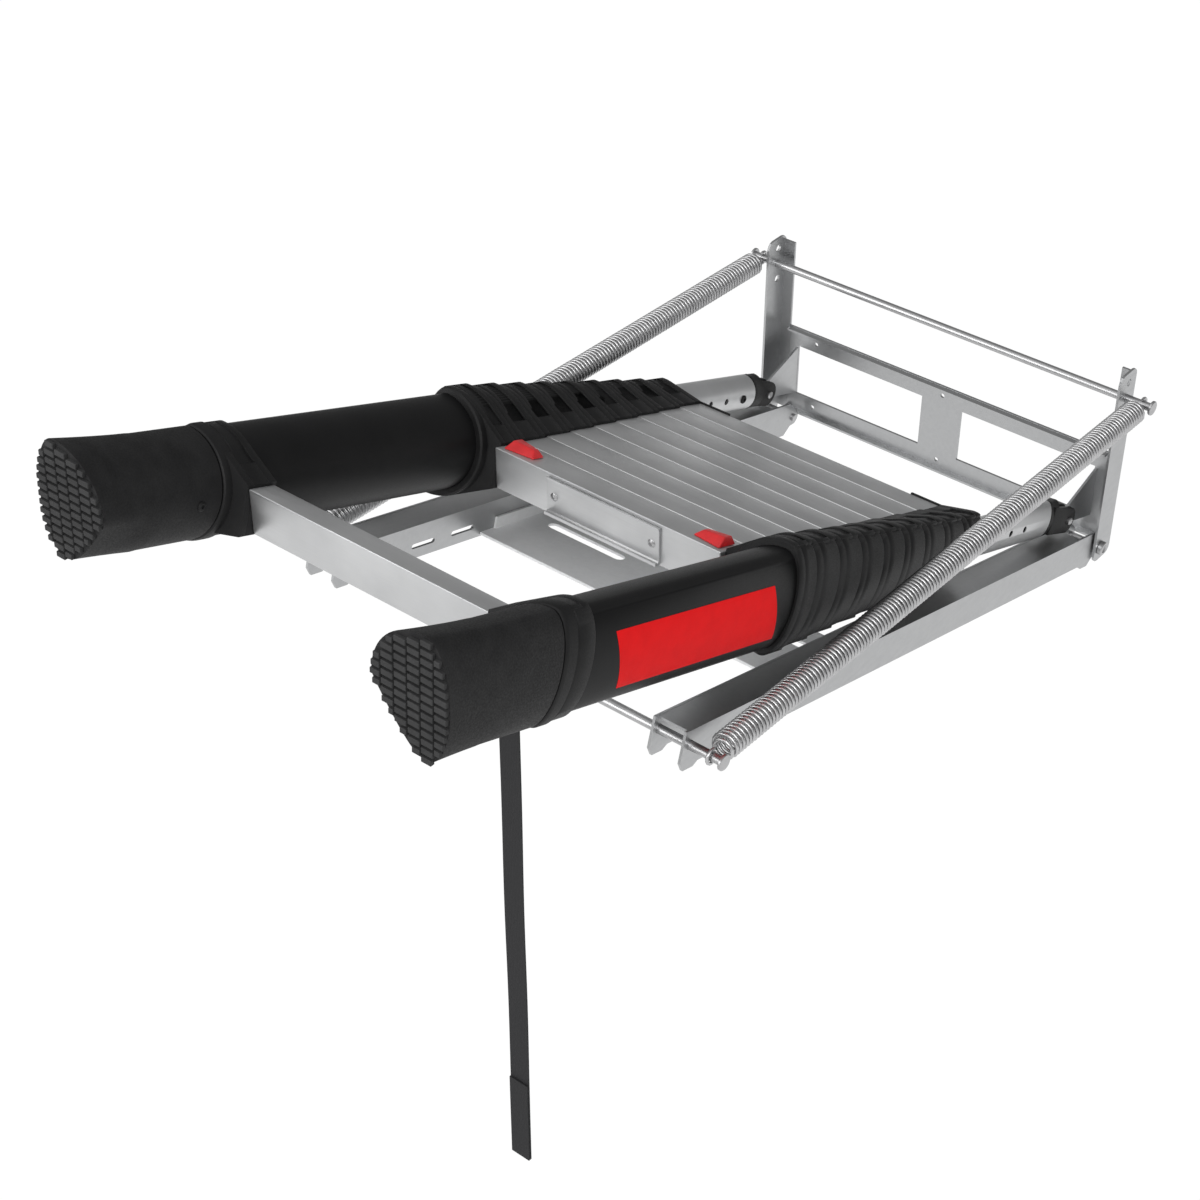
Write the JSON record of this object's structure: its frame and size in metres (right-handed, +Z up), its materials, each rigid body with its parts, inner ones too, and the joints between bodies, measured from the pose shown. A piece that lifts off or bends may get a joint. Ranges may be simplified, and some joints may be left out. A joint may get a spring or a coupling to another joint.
{
  "type": "telescoping loft ladder",
  "caption": "Telescoping aluminium ladder, stored folded on a steel wall frame with swing arms, assist springs, red release buttons and a hanging pull strap.",
  "frame": {"origin": "centre of the wall plate's back face, on the wall", "axes": "+Z up, +Y into the wall, -Y out to the feet, +X to the right when seen from the room"},
  "size_m": [0.484, 1, 0.6998],
  "materials": {
    "galvanised_steel": "galvanised sheet, fine brushed grain",
    "bright_rod": "bright zinc",
    "spring_wire": "drawn spring wire",
    "satin_aluminium": "satin anodised, ribbed extrusion",
    "black_tube": "black anodised",
    "black_collar": "fine moulded texture",
    "foot_rubber": "matt, block tread",
    "red_plastic": "moulded",
    "black_webbing": "woven webbing"
  },
  "bodies": {
    "wall_frame": {"upright_left": "galvanised_steel", "upright_right": "galvanised_steel", "arm_pivot_pin_left": "galvanised_steel", "arm_pivot_pin_right": "galvanised_steel", "wall_plate": "galvanised_steel", "top_rod": "bright_rod"},
    "arms": {"arm_left": "galvanised_steel", "arm_right": "galvanised_steel", "cross_plate": "galvanised_steel", "front_rod": "bright_rod"},
    "spring_left_coil": {"spring_left": "spring_wire"},
    "spring_left_end": {"spring_hook_left": "spring_wire"},
    "spring_right_coil": {"spring_right": "spring_wire"},
    "spring_right_end": {"spring_hook_right": "spring_wire"},
    "ladder_top": {"top_tube_left": "satin_aluminium", "top_tube_right": "satin_aluminium", "fork_end_left": "black_collar", "fork_end_right": "black_collar", "fork_pin_left": "bright_rod", "fork_pin_right": "bright_rod"},
    "section_9": {"stile_9_left": "black_collar", "stile_9_right": "black_collar", "rung_10": "satin_aluminium"},
    "section_8": {"stile_8_left": "black_collar", "stile_8_right": "black_collar", "rung_9": "satin_aluminium"},
    "section_7": {"stile_7_left": "black_collar", "stile_7_right": "black_collar", "rung_8": "satin_aluminium"},
    "section_6": {"stile_6_left": "black_collar", "stile_6_right": "black_collar", "rung_7": "satin_aluminium"},
    "section_5": {"stile_5_left": "black_collar", "stile_5_right": "black_collar", "rung_6": "satin_aluminium"},
    "section_4": {"stile_4_left": "black_collar", "stile_4_right": "black_collar", "rung_5": "satin_aluminium"},
    "section_3": {"stile_3_left": "black_collar", "stile_3_right": "black_collar", "rung_4": "satin_aluminium"},
    "section_2": {"stile_2_left": "black_collar", "stile_2_right": "black_collar", "rung_3": "satin_aluminium"},
    "section_1": {"bottom_tube_left": "black_tube", "bottom_tube_right": "black_tube", "foot_left": "foot_rubber", "foot_right": "foot_rubber", "lower_collar_left": "black_collar", "lower_collar_right": "black_collar", "upper_collar_left": "black_collar", "upper_collar_right": "black_collar", "rung_1": "satin_aluminium", "rung_2": "satin_aluminium", "hook_bracket": "satin_aluminium"},
    "button_left": {"release_button_left": "red_plastic", "lock_pin_left": "bright_rod"},
    "button_right": {"release_button_right": "red_plastic", "lock_pin_right": "bright_rod"},
    "strap": {"pull_strap": "black_webbing"}
  },
  "joints": [
    {"name": "ladder_swing", "type": "hinge", "parent": "wall_frame", "child": "ladder_top", "pos_m": [0, -0.06605, 0.00218], "axis": [1, 0, 0], "range_deg": [0, 75], "stiffness_Nm_per_rad": 60, "springref_deg": -148.97},
    {"name": "arms_swing", "type": "hinge", "parent": "wall_frame", "child": "arms", "pos_m": [0, -0.021, -0.049], "axis": [1, 0, 0], "range_deg": [0, 72.5]},
    {"name": "spring_left_swing", "type": "hinge", "parent": "arms", "child": "spring_left_end", "pos_m": [-0.229, -0.72008, 0.15775], "axis": [1, 0, 0], "range_deg": [-8.1, 0]},
    {"name": "spring_left_stretch", "type": "slide", "parent": "spring_left_end", "child": "spring_left_coil", "axis": [0, 0.9992, -0.0401], "range_m": [0, 0.181], "deforming": ["spring_left"]},
    {"name": "spring_right_swing", "type": "hinge", "parent": "arms", "child": "spring_right_end", "pos_m": [0.229, -0.72008, 0.15775], "axis": [1, 0, 0], "range_deg": [-8.1, 0]},
    {"name": "spring_right_stretch", "type": "slide", "parent": "spring_right_end", "child": "spring_right_coil", "axis": [0, 0.9992, -0.0401], "range_m": [0, 0.181], "deforming": ["spring_right"]},
    {"name": "section_9_slide", "type": "slide", "parent": "ladder_top", "child": "section_9", "axis": [0, -0.9307, 0.3657], "range_m": [0, 0.25]},
    {"name": "section_8_slide", "type": "slide", "parent": "section_9", "child": "section_8", "axis": [0, -0.9307, 0.3657], "range_m": [0, 0.25]},
    {"name": "section_7_slide", "type": "slide", "parent": "section_8", "child": "section_7", "axis": [0, -0.9307, 0.3657], "range_m": [0, 0.25]},
    {"name": "section_6_slide", "type": "slide", "parent": "section_7", "child": "section_6", "axis": [0, -0.9307, 0.3657], "range_m": [0, 0.25]},
    {"name": "section_5_slide", "type": "slide", "parent": "section_6", "child": "section_5", "axis": [0, -0.9307, 0.3657], "range_m": [0, 0.25]},
    {"name": "section_4_slide", "type": "slide", "parent": "section_5", "child": "section_4", "axis": [0, -0.9307, 0.3657], "range_m": [0, 0.25]},
    {"name": "section_3_slide", "type": "slide", "parent": "section_4", "child": "section_3", "axis": [0, -0.9307, 0.3657], "range_m": [0, 0.25]},
    {"name": "section_2_slide", "type": "slide", "parent": "section_3", "child": "section_2", "axis": [0, -0.9307, 0.3657], "range_m": [0, 0.25]},
    {"name": "section_1_slide", "type": "slide", "parent": "section_2", "child": "section_1", "axis": [0, -0.9307, 0.3657], "range_m": [0, 0.25]},
    {"name": "button_left_press", "type": "slide", "parent": "section_1", "child": "button_left", "axis": [1, 0, 0], "range_m": [0, 0.008], "stiffness_N_per_m": 400},
    {"name": "button_right_press", "type": "slide", "parent": "section_1", "child": "button_right", "axis": [-1, 0, 0], "range_m": [0, 0.008], "stiffness_N_per_m": 400},
    {"name": "strap_swing", "type": "hinge", "parent": "section_1", "child": "strap", "pos_m": [0.1354, -0.8545, 0.2836], "axis": [1, 0, 0], "range_deg": [-75, 0]}
  ],
  "couplings": [
    {"joint": "arms_swing", "follows": "ladder_swing", "ratio": 0.965},
    {"joint": "spring_left_swing", "follows": "ladder_swing", "ratio": -0.1074},
    {"joint": "spring_left_stretch", "follows": "ladder_swing", "m_per_rad": 0.13705},
    {"joint": "spring_right_swing", "follows": "ladder_swing", "ratio": -0.1074},
    {"joint": "spring_right_stretch", "follows": "ladder_swing", "m_per_rad": 0.13705},
    {"joint": "strap_swing", "follows": "ladder_swing", "ratio": -1}
  ]
}
